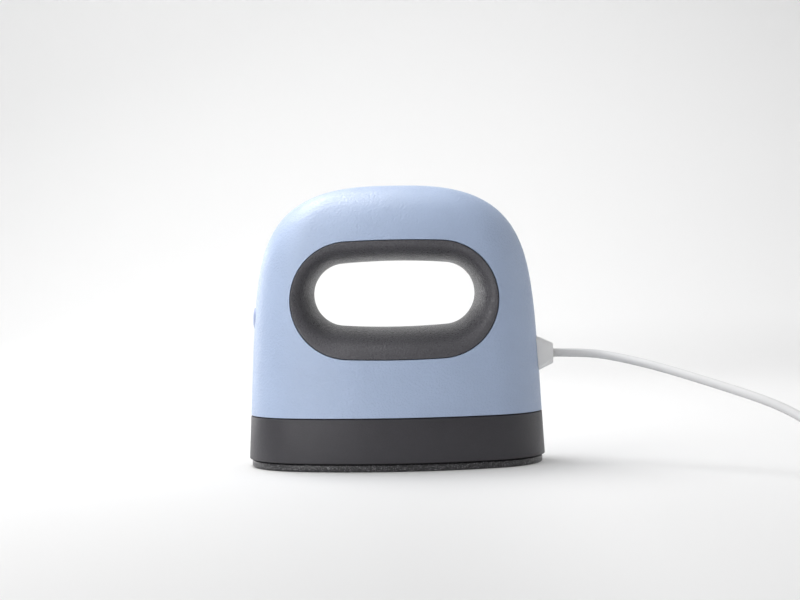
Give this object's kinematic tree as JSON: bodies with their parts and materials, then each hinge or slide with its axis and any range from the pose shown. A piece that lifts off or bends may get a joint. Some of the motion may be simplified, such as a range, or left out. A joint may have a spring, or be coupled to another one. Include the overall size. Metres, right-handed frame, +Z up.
{
  "type": "handheld heat press",
  "caption": "Small upright heat press: rounded plastic body with a grip opening through it, dark skirt, flat coated heat plate, end button and a mains cord from the other end.",
  "frame": {"origin": "middle of the heating face, on the surface that the press rests on", "axes": "+X along the plate to the end that the cord leaves, +Y to the rear, +Z up"},
  "size_m": [0.2877, 0.1668, 0.1083],
  "materials": {
    "shell_blue": "satin moulded plastic, pale periwinkle blue",
    "button_blue": "satin moulded plastic, slightly darker blue",
    "grip_grey": "fine matte grain, dark warm grey",
    "skirt_charcoal": "fine matte grain, charcoal",
    "plate_coating": "cast aluminium with a speckled dark non-stick coating",
    "steel": "zinc-plated steel",
    "sheet_aluminium": "bare sheet",
    "element_sheath": "dull steel sheath",
    "boot_white": "smooth moulded, off-white",
    "cord_white": "smooth sheathed cord, off-white",
    "black_plastic": "moulded, black",
    "brass_blades": "nickel-bright brass",
    "board_green": "glass-fibre board, green lacquer",
    "terminal_green": "moulded, green",
    "fuse_glass": "clear tube",
    "capacitor_can": "sleeved can, dark blue",
    "film_yellow": "moulded case, yellow",
    "relay_blue": "moulded case, blue",
    "seal_silicone": "silicone, dark red",
    "felt_white": "needled ceramic felt",
    "ceramic_white": "unglazed ceramic",
    "lead_brown": "insulated wire, brown",
    "lead_blue": "insulated wire, blue",
    "lead_white": "glass-fibre sleeved wire, white",
    "ribbon_grey": "flat ribbon wire, grey",
    "lamp_clear": "clear moulded lens"
  },
  "bodies": {
    "housing": {"base_skirt": "skirt_charcoal", "board_bracket": "steel", "board_screws": "steel", "bracket_screws": "steel", "clip_screws": "steel", "control_board": "board_green", "control_ribbon": "ribbon_grey", "control_screws": "steel", "controller_chip": "black_plastic", "cord_boot": "boot_white", "cord_coil": "cord_white", "cord_crimp": "steel", "cord_tail": "cord_white", "cord_tie": "black_plastic", "element_terminals": "steel", "filter_capacitor": "film_yellow", "front_grip": "grip_grey", "front_shell": "shell_blue", "fuse_clip": "steel", "fuse_holders": "brass_blades", "fuse_leads": "lead_white", "heat_plate": "plate_coating", "heat_shield": "sheet_aluminium", "heater_leads": "lead_white", "heater_terminals": "terminal_green", "heating_element": "element_sheath", "indicator_leds": "lamp_clear", "inlet_terminals": "terminal_green", "insulation_pad": "felt_white", "live_lead": "lead_brown", "main_board": "board_green", "mains_fuse": "fuse_glass", "neutral_lead": "lead_blue", "plate_screws": "steel", "plate_seal": "seal_silicone", "plate_spacers": "ceramic_white", "plug_body": "cord_white", "plug_lead": "cord_white", "plug_pins": "brass_blades", "power_cord": "cord_white", "power_relay": "relay_blue", "rear_grip": "grip_grey", "rear_shell": "shell_blue", "ribbon_header": "black_plastic", "ribbon_socket": "black_plastic", "sensor_clip": "steel", "sensor_leads": "lead_white", "shell_screws": "steel", "skirt_screws": "steel", "smoothing_capacitor": "capacitor_can", "supply_module": "black_plastic", "switch_body": "black_plastic", "terminal_sleeves": "brass_blades", "thermal_fuse": "capacitor_can", "thermistor": "ceramic_white"},
    "button": {"power_button": "button_blue"},
    "plunger": {"switch_plunger": "black_plastic"}
  },
  "joints": [
    {"name": "button_press", "type": "slide", "parent": "housing", "child": "button", "axis": [1, 0, 0], "range_m": [0, 0.0005], "stiffness_N_per_m": 1500, "springref_m": -0.0003},
    {"name": "plunger_press", "type": "slide", "parent": "housing", "child": "plunger", "axis": [1, 0, 0], "range_m": [0, 0.0005]}
  ],
  "couplings": [
    {"joint": "plunger_press", "follows": "button_press", "ratio": 1}
  ]
}
